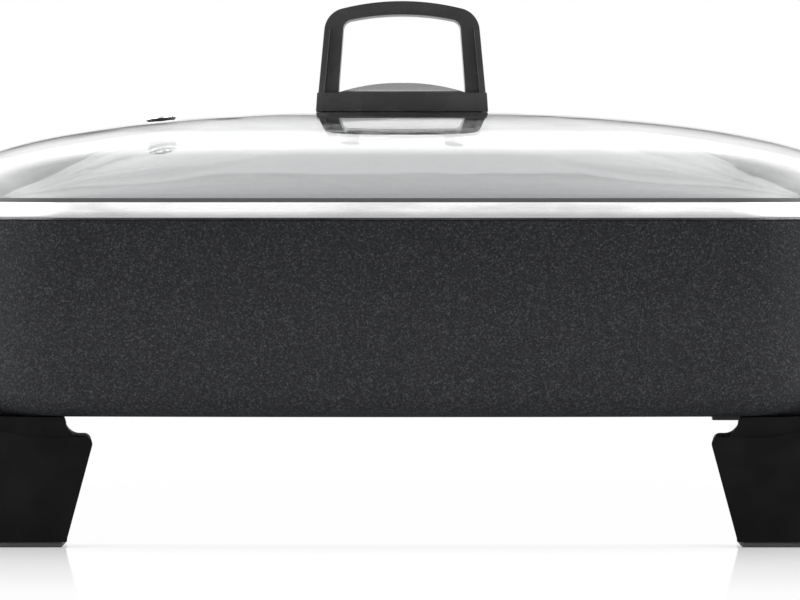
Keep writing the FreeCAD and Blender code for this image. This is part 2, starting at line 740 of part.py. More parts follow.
def make_vent():
    eyelet = Piece("steam_vent_eyelet")
    bore = s.vent_tube - s.vent_wall
    top = s.vent_gasket + s.vent_flange
    bottom = -(s.glass_thickness + s.vent_gasket + s.vent_lip)
    lip = s.vent_radius - s.vent_wall
    eyelet.revolve([
        (bore, bottom), (lip, bottom), (lip, bottom + s.vent_lip),
        (s.vent_tube, bottom + s.vent_lip), (s.vent_tube, s.vent_gasket),
        (s.vent_radius, s.vent_gasket), (s.vent_radius, top - s.vent_flange / 3),
        (s.vent_radius - s.vent_wall, top), (bore, top)], "V_Axis")
    on_vent(eyelet)
    gasket = Piece("steam_vent_gasket")
    low = -(s.glass_thickness + s.vent_gasket)
    middle = vent_hole - s.vent_play
    gasket.revolve([
        (s.vent_tube, low), (lip, low), (lip, -(s.glass_thickness + s.vent_gasket / 2)),
        (middle, -(s.glass_thickness + s.vent_gasket / 2)), (middle, s.vent_gasket / 2),
        (lip, s.vent_gasket / 2), (lip, s.vent_gasket), (s.vent_tube, s.vent_gasket)],
        "V_Axis")
    on_vent(gasket)


def make_handle_gasket():
    gasket = Piece("lid_handle_gasket")
    inset = s.gasket_inset

    def draw(sketch):
        rectangle(sketch, (-s.handle_half_length + inset, s.handle_half_length - inset),
                  (-s.handle_half_width + inset, s.handle_half_width - inset))
        for sign in SIDES:
            circle(sketch, s.handle_screw_x * sign, nothing,
                   s.handle_screw_radius + s.fit_gap)
    gasket.pad_up(draw, glass_top, handle_bottom)


def make_handle_base():
    base = Piece("handle_base_body")
    half = s.handle_half_length
    deep = s.handle_half_width
    front_top = handle_bottom + s.handle_base_height

    top_half = half - s.base_lean

    def front_view(sketch):
        profile(sketch, [
            (-half, handle_bottom), (half, handle_bottom), (top_half, front_top),
            (s.gap_half_bottom, front_top, s.handle_crown), (-s.gap_half_bottom, front_top),
            (-top_half, front_top)])
    base.pad_back(front_view, -deep, deep)

    def end_view(sketch):
        profile(sketch, [(-deep, handle_bottom), (deep, handle_bottom),
                         (deep, front_top, s.handle_crown), (-deep, front_top)])
    crown = Piece("handle_base_crown")
    crown.pad_right(end_view, -half, half)
    crowned = common("handle_base_block", base.body, crown.body)
    fin_foot = handle_bottom + s.handle_base_height / 2
    fin_head = handle_bottom + s.fin_top
    fins = []
    for sign in SIDES:
        corners = [(half - s.fin_thickness - s.base_lean, fin_foot), (half - s.base_lean, fin_foot),
                   (half - s.fin_lean, fin_head), (half - s.fin_lean - s.fin_thickness, fin_head)]
        if sign < 0:
            corners = [(-x, z) for x, z in reversed(corners)]
        fin = Piece("handle_fin")
        fin.pad_back(lambda sketch: profile(sketch, corners), -s.fin_half_width,
                     s.fin_half_width)
        fins.append(fin.body)
    bores = [rod(s.handle_screw_radius + s.fit_gap, s.handle_screw_reach,
                 s.handle_screw_x * sign, nothing, handle_bottom) for sign in SIDES]
    return cut("lid_handle_base", fuse(crowned, *fins), fuse(*bores))


def make_handle_grip(base):
    arch = Piece("grip_arch")
    half = s.handle_half_length - s.fin_thickness - s.base_lean
    foot = handle_bottom + s.handle_base_height / 2
    shelf = handle_bottom + s.fin_top
    crest = handle_bottom + s.arch_shoulder_height
    shelf_half = s.handle_half_length - s.fin_lean
    fin_inner = shelf_half - s.fin_thickness
    outline = [
        (half, foot), (fin_inner, shelf), (shelf_half, shelf, s.arch_corner_rise),
        (s.arch_shoulder, crest, s.arch_rise), (-s.arch_shoulder, crest, s.arch_corner_rise),
        (-shelf_half, shelf), (-fin_inner, shelf), (-half, foot)]
    arch.pad_back(lambda sketch: profile(sketch, outline),
                  -s.arch_half_width, s.arch_half_width)

    top = handle_bottom + s.gap_height
    below = foot - s.body_gap

    def finger_gap(sketch):
        profile(sketch, [(-s.gap_half_bottom, below), (s.gap_half_bottom, below),
                         (s.gap_half_top, top, s.gap_rise), (-s.gap_half_top, top)])
    arch.cut_back(finger_gap, -s.arch_half_width, s.arch_half_width)
    arch.round_edges(along_y_at((s.gap_half_top, top), (-s.gap_half_top, top)), s.arch_round)
    cut("lid_handle_grip", arch.body, base)


def make_handle_fixing():
    plate = Piece("lid_handle_plate")

    def draw(sketch):
        rectangle(sketch, (-s.plate_half_length, s.plate_half_length),
                  (-s.plate_half_width, s.plate_half_width))
        for sign in SIDES:
            circle(sketch, s.handle_screw_x * sign, nothing,
                   s.handle_screw_radius + s.fit_gap)
    plate.pad_up(draw, glass_under - s.plate_thickness, glass_under)
    screws = []
    seat = glass_under - s.plate_thickness
    for sign in SIDES:
        x = s.handle_screw_x * sign
        length = handle_bottom + s.handle_screw_reach - s.body_gap - seat
        shank = rod(s.handle_screw_radius, length, x, nothing, seat)
        head = rod(s.handle_head_radius, s.screw_head_height, x, nothing,
                   seat - s.screw_head_height)
        screws.append(fuse(shank, head))
    group("lid_handle_screws", screws)


# The heat control: a two-part housing that plugs in at the right-hand end.

probe_end = s.probe_start + s.probe_length
probe_bottom = s.probe_split - s.probe_half_height
probe_top = s.probe_split + s.probe_half_height
probe_floor = probe_bottom + s.probe_wall
probe_roof = probe_top - s.probe_wall
POSTS = [(s.probe_start + s.post_inset + s.post_radius * 2, s.post_y),
         (probe_end - s.post_inset, s.post_y)]


def on_posts(radius):
    def draw(sketch):
        for x, y in POSTS:
            for sign in SIDES:
                circle(sketch, x, y * sign, radius)
    return draw


def shell_outline(inset):
    def draw(sketch):
        rectangle(sketch, (s.probe_start + inset, probe_end - inset),
                  (-s.probe_half_width + inset, s.probe_half_width - inset))
    return draw


def block_port(sketch):
    rectangle(sketch, (-s.block_half_width, s.block_half_width),
              (s.pin_height - s.block_half_height, s.pin_height + s.block_half_height))


def gland_port(sketch):
    circle(sketch, nothing, s.probe_split, s.gland_radius)


def make_housing(label, outer_low, outer_high, inner_low, inner_high):
    shell = Piece(label)
    shell.pad_up(shell_outline(nothing), outer_low, outer_high)
    shell.round_edges(upright_edge, s.probe_corner)
    far = probe_bottom if label.endswith("lower") else probe_top
    shell.round_edges(level_edge(far), s.probe_round)
    shell.cut_down(shell_outline(s.probe_wall), inner_high, inner_low)
    shell.pad_up(on_posts(s.post_radius), inner_low, inner_high)
    shell.cut_left(block_port, s.probe_start + s.probe_wall, s.probe_start)
    shell.cut_left(gland_port, probe_end, probe_end - s.probe_wall)
    return shell


def make_housings():
    lower = make_housing("probe_housing_lower", probe_bottom, s.probe_split,
                         probe_floor, s.probe_split)
    lower.cut_down(on_posts(s.probe_screw + s.fit_gap), s.probe_split, probe_bottom)
    lower.cut_down(on_posts(s.probe_screw_head + s.fit_gap), probe_bottom + s.post_head,
                   probe_bottom)
    upper = make_housing("probe_housing_upper", s.probe_split, probe_top,
                         s.probe_split, probe_roof)
    upper.cut_down(on_posts(s.probe_screw + s.fit_gap), probe_roof, s.probe_split)

    def roof_holes(sketch):
        circle(sketch, s.dial_x, nothing, s.shaft_radius + s.fit_gap)
        circle(sketch, s.lens_x, nothing, s.lens_radius)
    upper.cut_down(roof_holes, probe_top, probe_roof)


def make_probe_screws():
    screws = []
    seat = probe_bottom + s.post_head
    for x, y in POSTS:
        for sign in SIDES:
            shank = rod(s.probe_screw, probe_roof - s.body_gap - seat, x, y * sign, seat)
            head = rod(s.probe_screw_head, s.probe_head_height, x, y * sign,
                       seat - s.probe_head_height)
            screws.append(fuse(shank, head))
    group("probe_screws", screws)


def make_contacts():
    holder = Piece("contact_block")
    end = s.block_start + s.block_length
    holder.pad_right(block_port, s.block_start, end)

    def bores(sketch):
        circle(sketch, nothing, s.pin_height, s.rod_radius)
        for sign in SIDES:
            circle(sketch, s.pin_spacing * sign, s.pin_height, socket_outer)
    holder.cut_left(bores, end, s.block_start)
    sockets = []
    for sign in SIDES:
        y = s.pin_spacing * sign
        tube = rod(socket_outer, s.socket_length, s.socket_start, y, s.pin_height, TO_RIGHT)
        hole = rod(s.pin_radius + s.fit_gap, s.socket_length, s.socket_start, y,
                   s.pin_height, TO_RIGHT)
        sockets.append(cut("socket", tube, hole))
    group("contact_sleeves", sockets)
    sensor = rod(s.rod_radius, s.rod_length, s.rod_start, nothing, s.pin_height, TO_RIGHT)
    sensor.Label = "sensor_rod"


socket_outer = s.pin_radius + s.fit_gap + s.socket_wall


def make_thermostat():
    deck = probe_floor + s.base_thickness
    plate = block((s.plate_start, s.plate_start + s.plate_length),
                  (-s.base_half_width, s.base_half_width), (probe_floor, deck))
    plate.Label = "thermostat_base"
    start = s.plate_start + s.blade_foot
    for label, sign, height in (("bimetal_strip", -1, s.bimetal_height),
                                ("contact_blade", 1, s.contact_height)):
        near = s.blade_offset
        far = s.blade_offset + s.blade_width
        y = (near, far) if sign > 0 else (-far, -near)
        foot = block((start, start + s.blade_foot), y, (deck, deck + height))
        blade = block((start, start + s.blade_length), y,
                      (deck + height, deck + height + s.blade_thickness))
        strip = fuse(foot, blade)
        strip.Label = label


def make_gland():
    gland = Piece("cord_gland")
    flange = s.gland_radius + s.gland_flange
    gland.revolve([
        (-s.probe_wall - s.gland_flange, s.gland_bore), (s.gland_reach, s.gland_bore),
        (s.gland_reach, s.gland_tip), (nothing, s.gland_radius),
        (-s.probe_wall, s.gland_radius), (-s.probe_wall, flange),
        (-s.probe_wall - s.gland_flange, flange)], "H_Axis")
    bind(gland.body, "Placement.Base.x", probe_end)
    bind(gland.body, "Placement.Base.z", s.probe_split)


def make_lens():
    lens = Piece("indicator_lens")
    lens.pad_up(lambda sketch: circle(sketch, s.lens_x, nothing, s.lens_radius),
                probe_roof, probe_top + s.lens_proud)
    lens.pad_up(lambda sketch: circle(sketch, s.lens_x, nothing,
                                      s.lens_radius + s.lens_flange),
                probe_roof - s.lens_flange, probe_roof)


def make_dial():
    bottom = probe_top + s.dial_lift
    top = bottom + s.dial_height
    dial = Piece("control_dial")
    dial.pad_up(lambda sketch: circle(sketch, s.dial_x, nothing, s.dial_radius),
                bottom, top)
    dial.round_edges(level_edge(top), s.dial_edge)
    long_half = s.dial_radius - s.dial_ridge_inset - s.dial_edge

    def ridge(sketch):
        rectangle(sketch, (s.dial_x - long_half, s.dial_x + long_half),
                  (-s.dial_ridge_width / 2, s.dial_ridge_width / 2))
    dial.pad_up(ridge, top, top + s.dial_ridge_height)
    dial.cut_down(lambda sketch: circle(sketch, s.dial_x, nothing, s.shaft_radius),
                  bottom + s.shaft_engage, bottom)
    shaft = rod(s.shaft_radius, bottom + s.shaft_engage - s.shaft_bottom, s.dial_x, nothing,
                s.shaft_bottom)
    shaft.Label = "dial_shaft"
    disc = rod(s.cam_radius, s.cam_thickness, s.dial_x, nothing, s.shaft_bottom)
    hole = rod(s.shaft_radius, s.cam_thickness, s.dial_x, nothing, s.shaft_bottom)
    cut("thermostat_cam", disc, hole)


NODES = [
    "pan", "heating_element", "terminal_pins", "probe_sleeve", "terminal_guard",
    "guard_screws", "left_handle_legs", "right_handle_legs", "leg_screws", "leg_washers",
    "foot_pads", "lid_rim", "lid_seal", "lid_glass", "steam_vent_eyelet",
    "steam_vent_gasket", "lid_handle_gasket", "lid_handle_base", "lid_handle_grip",
    "lid_handle_plate", "lid_handle_screws", "probe_housing_lower", "probe_housing_upper",
    "probe_screws", "contact_block", "contact_sleeves", "sensor_rod", "thermostat_base",
    "bimetal_strip", "contact_blade", "cord_gland", "indicator_lens", "control_dial",
    "dial_shaft", "thermostat_cam",
]


def make_all():
    make_pan()
    make_element()
    make_terminal_pins()
    make_probe_sleeve()
    make_terminal_guard()
    make_guard_screws()
    make_frame("left_handle_legs", -1)
    make_frame("right_handle_legs", 1)
    make_leg_screws()
    make_foot_pads()
    make_lid_rim()
    make_lid_seal()
    make_lid_glass()
    make_vent()
    make_handle_gasket()
    make_handle_grip(make_handle_base())
    make_handle_fixing()
    make_housings()
    make_probe_screws()
    make_contacts()
    make_thermostat()
    make_gland()
    make_lens()
    make_dial()


def check_document():
    doc.recompute()
    for item in doc.Objects:
        if "Invalid" in item.State or "Error" in item.State:
            raise ValueError(f"{item.Label} did not compute: {item.State}")


def export_nodes():
    os.makedirs("parts", exist_ok=True)
    found = {item.Label: item for item in doc.Objects}
    for name in NODES:
        shape = found[name].Shape
        if shape.isNull() or not shape.isValid():
            raise ValueError(f"{name} is not a valid shape")
    for name in NODES:
        found[name].Shape.exportStep(f"parts/{name}.step")


make_all()
check_document()
export_nodes()
print(f"{len(NODES)} nodes")
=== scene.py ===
import math

import bmesh
import bpy
from mathutils import Matrix, Vector


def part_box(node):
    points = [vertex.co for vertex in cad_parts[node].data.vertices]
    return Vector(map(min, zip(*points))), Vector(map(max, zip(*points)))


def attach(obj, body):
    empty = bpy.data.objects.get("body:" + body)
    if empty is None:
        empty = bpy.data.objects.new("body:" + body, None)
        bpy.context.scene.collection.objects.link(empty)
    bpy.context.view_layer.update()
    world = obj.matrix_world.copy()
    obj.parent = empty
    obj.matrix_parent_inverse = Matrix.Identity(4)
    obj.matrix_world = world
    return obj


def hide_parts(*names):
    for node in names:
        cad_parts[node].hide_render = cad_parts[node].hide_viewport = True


# Camera. It stands in front of the skillet, level with the lid's rim, a long way off, with a
# long lens; the object's middle is two pixels right of the picture's.
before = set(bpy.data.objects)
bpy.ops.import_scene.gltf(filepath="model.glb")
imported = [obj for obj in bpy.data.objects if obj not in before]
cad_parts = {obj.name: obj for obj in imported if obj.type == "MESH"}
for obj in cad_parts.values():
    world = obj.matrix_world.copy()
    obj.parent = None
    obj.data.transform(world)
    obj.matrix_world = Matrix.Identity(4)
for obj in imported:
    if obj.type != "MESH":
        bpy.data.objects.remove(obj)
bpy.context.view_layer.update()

CAMERA_DISTANCE = 1.7
CAMERA_HEIGHT = 0.1614
CAMERA_PITCH = 0.0334
FOCAL_PIXELS = 3519
PICTURE_WIDTH = 800
PICTURE_MIDDLE_OFFSET = 2
SENSOR_WIDTH = 36
CAMERA_REACH = 60

camera_data = bpy.data.cameras.new("camera")
camera_data.sensor_width = SENSOR_WIDTH
camera_data.lens = FOCAL_PIXELS * SENSOR_WIDTH / PICTURE_WIDTH
camera_data.clip_end = CAMERA_REACH
camera = bpy.data.objects.new("camera", camera_data)
camera.location = (0, -CAMERA_DISTANCE, CAMERA_HEIGHT)
camera.rotation_euler = (math.pi / 2 - CAMERA_PITCH, 0, PICTURE_MIDDLE_OFFSET / FOCAL_PIXELS)
bpy.context.scene.collection.objects.link(camera)
bpy.context.scene.camera = camera
bpy.context.scene.view_settings.view_transform = "Standard"


# Studio. A white table in a white room, where only gloss shows a darker strip low behind, a
# bright panel above that and a bright window past each end. The three soft lamps don't show
# in gloss. Shader maths is written as Python expressions on sockets.
class Socket:
    def __init__(self, finish, link):
        self.finish = finish
        self.link = link

    def maths(self, operation, first, second):
        found = self.finish.node("ShaderNodeMath", {"operation": operation}, {0: first, 1: second})
        return found["Value"]

    def __add__(self, other):
        return self.maths("ADD", self, other)

    def __radd__(self, other):
        return self.maths("ADD", other, self)

    def __sub__(self, other):
        return self.maths("SUBTRACT", self, other)

    def __rsub__(self, other):
        return self.maths("SUBTRACT", other, self)

    def __mul__(self, other):
        return self.maths("MULTIPLY", self, other)

    def __pow__(self, other):
        return self.maths("POWER", self, other)

    def larger(self, other):
        return self.maths("MAXIMUM", self, other)

    def above(self, limit, soft):
        return self.finish.ramp(self, [(limit, 0.0), (limit + soft, 1.0)])


class Outputs:
    def __init__(self, finish, node):
        self.finish = finish
        self.node = node

    def __getitem__(self, name):
        return Socket(self.finish, self.node.outputs[name])


class Finish:
    def __init__(self, tree):
        self.tree = tree
        self.tree.nodes.clear()

    def node(self, kind, settings, sockets):
        made = self.tree.nodes.new(kind)
        for name, value in settings.items():
            setattr(made, name, value)
        for name, value in sockets.items():
            if isinstance(value, Socket):
                self.tree.links.new(value.link, made.inputs[name])
            else:
                made.inputs[name].default_value = value
        return Outputs(self, made)

    def ramp(self, value, stops):
        low, high = stops
        made = self.node("ShaderNodeMapRange", {"clamp": True}, {
            "Value": value, "From Min": low[0], "From Max": high[0],
            "To Min": low[1], "To Max": high[1]})
        return made["Result"]

    def between(self, value, edges):
        """One inside the inner edges, nought beyond the outer ones."""
        rise, fall = edges
        return (self.ramp(value, [(rise[0], 0.0), (rise[1], 1.0)])
                * self.ramp(value, [(fall[0], 1.0), (fall[1], 0.0)]))

    def mix(self, share, first, second):
        made = self.node("ShaderNodeMix", {"data_type": "RGBA"}, {})
        for index, value in ((0, share), (6, first), (7, second)):
            if isinstance(value, Socket):
                self.tree.links.new(value.link, made.node.inputs[index])
            else:
                made.node.inputs[index].default_value = value
        return made[2]

    def here(self):
        return self.node("ShaderNodeTexCoord", {}, {})["Object"]

    def axes(self):
        return self.node("ShaderNodeSeparateXYZ", {}, {"Vector": self.here()})

    def place(self, stretch):
        return self.node("ShaderNodeMapping", {}, {
            "Vector": self.here(), "Scale": stretch})["Vector"]

    def noise(self, size, detail=3.0, stretch=(1, 1, 1), place=None):
        made = self.node("ShaderNodeTexNoise", {}, {
            "Vector": place or self.place(stretch), "Scale": 1 / size, "Detail": detail})
        return made[0]

    def flecks(self, size):
        made = self.node("ShaderNodeTexVoronoi", {}, {
            "Vector": self.place((1, 1, 1)), "Scale": 1 / size})
        split = self.node("ShaderNodeSeparateColor", {}, {"Color": made["Color"]})
        return split["Red"]

    def bump(self, height, depth, strength=1.0):
        made = self.node("ShaderNodeBump", {}, {
            "Height": height, "Distance": depth, "Strength": strength})
        return made["Normal"]

    def surface(self, sockets):
        shader = self.node("ShaderNodeBsdfPrincipled", {}, sockets)
        self.node("ShaderNodeOutputMaterial", {}, {"Surface": shader["BSDF"]})


def grey(level):
    return (level, level, level, 1.0)


def new_finish(name):
    material = bpy.data.materials.new(name)
    material.use_nodes = True
    return material, Finish(material.node_tree)


FLOOR_HALF = 14.0
TABLE_GREY = 0.80
TABLE_ROUGHNESS = 0.07
NEAR_TABLE = -0.32
LEG_FRONTS = -0.15
UNDER_PAN = -0.13
NEAR_GLOW = 0.95
LEG_GLOW = 0.25
FAR_GLOW = 0.72

floor_mesh = bmesh.new()
bmesh.ops.create_grid(floor_mesh, x_segments=1, y_segments=1, size=FLOOR_HALF)
floor_data = bpy.data.meshes.new("table_top")
floor_mesh.to_mesh(floor_data)
floor_mesh.free()
floor = bpy.data.objects.new("table_top", floor_data)
bpy.context.scene.collection.objects.link(floor)

# The table glows for the camera alone, and least before the legs, which it mirrors there.
table_white, table = new_finish("table_white")
table_ray = table.node("ShaderNodeLightPath", {}, {})["Is Camera Ray"]
table_depth = table.axes()["Y"]
table_near = table.ramp(table_depth, [(NEAR_TABLE, NEAR_GLOW), (LEG_FRONTS, LEG_GLOW)])
table_far = table.ramp(table_depth, [(LEG_FRONTS, 0.0), (UNDER_PAN, FAR_GLOW)])
table_gloss = table.node("ShaderNodeBsdfPrincipled", {}, {
    "Base Color": grey(TABLE_GREY), "Roughness": TABLE_ROUGHNESS, "IOR": 1.45})
table_glow = table.node("ShaderNodeEmission", {}, {"Color": grey(1.0), "Strength": table_ray})
table_mix = table.node("ShaderNodeMixShader", {}, {
    0: table_ray * (table_near + table_far), 1: table_gloss["BSDF"],
    2: table_glow["Emission"]})
table.node("ShaderNodeOutputMaterial", {}, {"Surface": table_mix["Shader"]})
floor_data.materials.append(table_white)

ROOM_LIGHT = 0.62
FRONT_ROOM = 0.95
BACK_ROOM = 1.0
LOW_BACK_ROOM = 0.30
PANEL = 2.2
END_WINDOWS = 5.0
SIDE_TURN = (-0.55, 0.25)
BACK_TURN = (0.20, 0.70)
LOW_BACK_HEIGHTS = ((0.13, 0.16), (0.18, 0.36))
PANEL_HEIGHTS = ((0.42, 0.56), (0.74, 0.84))
WINDOW_TURN = (0.05, 0.35)

world = bpy.data.worlds.new("room")
world.use_nodes = True
bpy.context.scene.world = world
room = Finish(world.node_tree)
room_path = room.node("ShaderNodeLightPath", {}, {})
room_way = room.node("ShaderNodeTexCoord", {}, {})["Generated"]
room_axes = room.node("ShaderNodeSeparateXYZ", {}, {"Vector": room_way})
room_side = room.ramp(room_axes["Y"], [(SIDE_TURN[0], FRONT_ROOM), (SIDE_TURN[1], BACK_ROOM)])
room_back = room.ramp(room_axes["Y"], [(BACK_TURN[0], 0.0), (BACK_TURN[1], 1.0)])
room_low = room.between(room_axes["Z"], LOW_BACK_HEIGHTS)
room_panel = room.between(room_axes["Z"], PANEL_HEIGHTS)
room_ends = room.ramp(room_axes["X"] * room_axes["X"],
                      [(WINDOW_TURN[0], 0.0), (WINDOW_TURN[1], END_WINDOWS)])
room_seen = (room_side - room_back * room_low * (BACK_ROOM - LOW_BACK_ROOM)
             + room_back * room_panel * PANEL + room_ends)
room_clear = room_path["Is Transmission Ray"]
room_shiny = room_path["Is Glossy Ray"] * (1 - room_clear)
room_strength = (room_path["Is Camera Ray"] + room_clear + room_shiny * room_seen
                 + room_path["Is Diffuse Ray"] * ROOM_LIGHT)
room_glow = room.node("ShaderNodeBackground", {}, {
    "Color": grey(1.0), "Strength": room_strength})
room.node("ShaderNodeOutputWorld", {}, {"Surface": room_glow["Background"]})

LAMP_AIM = 0.1
TOP_LAMP_PLACE = (0, -0.2, 1.7)
TOP_LAMP_SIZE = (1.6, 1.2)
TOP_LAMP_POWER = 16
END_LAMP_PLACE = (1.5, -0.75, 0.55)
END_LAMP_SIZE = (0.7, 1.3)
END_LAMP_POWER = 30


def soft_lamp(name, place, aim, size, power):
    data = bpy.data.lights.new(name, "AREA")
    data.shape = "RECTANGLE"
    data.size = size[0]
    data.size_y = size[1]
    data.energy = power
    lamp = bpy.data.objects.new(name, data)
    lamp.location = place
    lamp.rotation_euler = (Vector(aim) - Vector(place)).to_track_quat("-Z", "Y").to_euler()
    lamp.visible_glossy = False
    lamp.visible_transmission = False
    bpy.context.scene.collection.objects.link(lamp)


soft_lamp("top_lamp", TOP_LAMP_PLACE, (0, 0, LAMP_AIM), TOP_LAMP_SIZE, TOP_LAMP_POWER)
for name, side in (("left_lamp", -1), ("right_lamp", 1)):
    soft_lamp(name, (side * END_LAMP_PLACE[0], *END_LAMP_PLACE[1:]),
              (side * LAMP_AIM, 0, LAMP_AIM), END_LAMP_SIZE, END_LAMP_POWER)


# Pan. Cast aluminium with drafted walls and a round bottom edge, inside and out under a
# charcoal non-stick coat with a fine metallic fleck in it. The lid's band, seal and glass are
# swept round the same outline, with bowed sides and round corners.
def finished(name, mesh, body, finish, nodes, sharp=35):
    data = bpy.data.meshes.new(name)
    mesh.to_mesh(data)
    mesh.free()
    data.materials.append(finish)
    data.shade_smooth()
    data.set_sharp_from_angle(angle=math.radians(sharp))
    piece = bpy.data.objects.new(name, data)
    bpy.context.scene.collection.objects.link(piece)
    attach(piece, body)
    if nodes:
        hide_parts(*nodes)
    return piece


OUTLINE_POINTS = 288
OUTLINE_HALVINGS = 34
PAN_HALF = (0.219, 0.164)
PAN_CORNER = 0.070
PAN_BOW = 0.004


def outline_reach(angle, half, corner, bow):
    """How far the outline lies from the middle, in one direction."""
    length, width = half
    end_radius = ((width - corner) ** 2 + bow ** 2) / (2 * bow)
    side_radius = ((length - corner) ** 2 + bow ** 2) / (2 * bow)
    end_x = length - end_radius
    side_y = width - side_radius
    gap = math.hypot(end_x, side_y)
    inner_side = side_radius - corner
    inner_end = end_radius - corner
    along = (inner_side ** 2 - inner_end ** 2 + gap ** 2) / (2 * gap)
    across = math.sqrt(inner_side ** 2 - along ** 2)
    corner_x = (along * end_x - across * side_y) / gap
    corner_y = side_y - (along * side_y + across * end_x) / gap
    turn_end = math.atan2(corner_y, corner_x - end_x)
    turn_side = math.atan2(corner_y - side_y, corner_x)
    low, high = 0.0, length + width
    for _ in range(OUTLINE_HALVINGS):
        reach = (low + high) / 2
        x = abs(reach * math.cos(angle))
        y = abs(reach * math.sin(angle))
        if math.atan2(y, x - end_x) <= turn_end:
            beyond = math.hypot(x - end_x, y) - end_radius
        elif math.atan2(y - side_y, x) >= turn_side:
            beyond = math.hypot(x, y - side_y) - side_radius
        else:
            beyond = math.hypot(x - corner_x, y - corner_y) - corner
        if beyond > 0:
            high = reach
        else:
            low = reach
    return low


def outline_angle(index):
    turn = 2 * math.pi * index / OUTLINE_POINTS
    return math.atan2(PAN_HALF[1] * math.sin(turn), PAN_HALF[0] * math.cos(turn))


def outline_index(vert):
    turn = math.atan2(vert.co.y * PAN_HALF[0], vert.co.x * PAN_HALF[1])
    return round(turn * OUTLINE_POINTS / (2 * math.pi)) % OUTLINE_POINTS


def set_ring(verts, half, corner, bow, inset, height, share=1.0):
    size = (half[0] - inset, half[1] - inset)
    reaches = [outline_reach(outline_angle(i), size, corner - inset, bow) * share
               for i in range(OUTLINE_POINTS)]
    for vert in verts:
        index = outline_index(vert)
        angle = outline_angle(index)
        vert.co = (reaches[index] * math.cos(angle), reaches[index] * math.sin(angle), height)


def first_ring(mesh):
    made = bmesh.ops.create_circle(mesh, segments=OUTLINE_POINTS, radius=1, cap_ends=False)
    verts = made["verts"]
    for vert in verts:
        turn = math.atan2(vert.co.y, vert.co.x)
        vert.co = (PAN_HALF[0] * math.cos(turn), PAN_HALF[1] * math.sin(turn), 0)
    return verts, list(mesh.edges)


def next_ring(mesh, edges):
    made = bmesh.ops.extrude_edge_only(mesh, edges=edges)["geom"]
    verts = [item for item in made if isinstance(item, bmesh.types.BMVert)]
    ring = [item for item in made if isinstance(item, bmesh.types.BMEdge)]
    fresh = set(verts)
    ring = [edge for edge in ring if edge.verts[0] in fresh and edge.verts[1] in fresh]
    return verts, ring


def swept(half, corner, bow, section, closed):
    """A mesh through rings of the outline; each step of the section is (inset, height)."""
    mesh = bmesh.new()
    verts, edges = first_ring(mesh)
    start = edges
    for number, (inset, height) in enumerate(section):
        if number:
            verts, edges = next_ring(mesh, edges)
        set_ring(verts, half, corner, bow, inset, height)
    if closed:
        bmesh.ops.bridge_loops(mesh, edges=start + edges)
    else:
        for loop in (start, edges):
            bmesh.ops.contextual_create(mesh, geom=loop)
    bmesh.ops.recalc_face_normals(mesh, faces=mesh.faces)
    return mesh


def arc(inset, height, radius, start, end, steps):
    """Points of a round corner in a section: degrees from outwards, towards up."""
    found = []
    for number in range(steps + 1):
        turn = math.radians(start + (end - start) * number / steps)
        found.append((inset - radius * math.cos(turn), height + radius * math.sin(turn)))
    return found


PAN_DRAFT = math.radians(3.0)
PAN_WALL = 0.004
PAN_FLOOR = 0.005
BOTTOM_ROUND = 0.011
INNER_ROUND = 0.008
RIM_ROUND = 0.0014
FLAT_INSET = 0.055
PAN_DEPTH = 0.0875
pan_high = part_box("pan")[1]
pan_underside = pan_high.z - PAN_DEPTH

FLECK = 0.00062
FINE_FLECK = 0.00035
MOTTLE = 0.0011
DRIFT = 0.05
# Heights and colours of the painted shade towards the top of the pan.
PAINTED_SHADE_START = 0.105
PAINTED_SHADE_FULL = 0.160
COAT_PLAIN = (0.0085, 0.0088, 0.0096, 1)
COAT_PAINTED_SHADE = (0.0036, 0.0038, 0.0042, 1)
COAT_SPARK = (0.041, 0.042, 0.045, 1)

coat, nonstick = new_finish("nonstick_coating")
fleck = nonstick.flecks(FLECK)
fine_fleck = nonstick.flecks(FINE_FLECK)
mottle = nonstick.noise(MOTTLE, 4.0)
drift = nonstick.noise(DRIFT, 2.0)
spark = (fleck.above(0.80, 0.16) * 0.55 + fine_fleck.above(0.70, 0.25) * 0.45
         + mottle.above(0.50, 0.22) * 0.35)
# Painted shade: the coat's colour darkens towards the top of the pan and its flecks dim there,
# standing in for shade under the lid's band.
top_painted_shade = nonstick.ramp(nonstick.axes()["Z"] + drift * 0.01,
                           [(PAINTED_SHADE_START, 0.0), (PAINTED_SHADE_FULL, 1.0)])
coat_with_painted_shade = nonstick.mix(top_painted_shade, COAT_PLAIN, COAT_PAINTED_SHADE)
coat_colour = nonstick.mix(spark - spark * top_painted_shade * 0.3, coat_with_painted_shade, COAT_SPARK)
nonstick.surface({
    "Base Color": coat_colour, "Metallic": 0.0,
    "Roughness": 0.50 - spark * 0.12 + drift * 0.06, "Specular IOR Level": 0.08,
    "Normal": nonstick.bump(mottle + fleck * 0.4, 0.00006, 0.5)})

draft_inset = (pan_high.z - pan_underside) * math.tan(PAN_DRAFT)
foot_inset = draft_inset - BOTTOM_ROUND * math.tan(PAN_DRAFT)
inner_low = pan_underside + PAN_FLOOR
inner_inset = PAN_WALL + (pan_high.z - inner_low) * math.tan(PAN_DRAFT)
pan_section = [(FLAT_INSET, pan_underside)]
pan_section += arc(foot_inset + BOTTOM_ROUND, pan_underside + BOTTOM_ROUND, BOTTOM_ROUND,
                   -90, -3, 10)
pan_section += [(draft_inset * share, pan_high.z - (pan_high.z - pan_underside) * share)
                for share in (0.66, 0.33)]
pan_section += arc(RIM_ROUND, pan_high.z - RIM_ROUND, RIM_ROUND, 0, 90, 4)
pan_section += arc(PAN_WALL - RIM_ROUND, pan_high.z - RIM_ROUND, RIM_ROUND, 90, 180, 4)
pan_section += arc(inner_inset + INNER_ROUND, inner_low + INNER_ROUND, INNER_ROUND,
                   -3, -87, 7)
pan_section += [(FLAT_INSET, inner_low)]
finished("pan_casting", swept(PAN_HALF, PAN_CORNER, PAN_BOW, pan_section, closed=False),
         "base", coat, ["pan"], sharp=50)


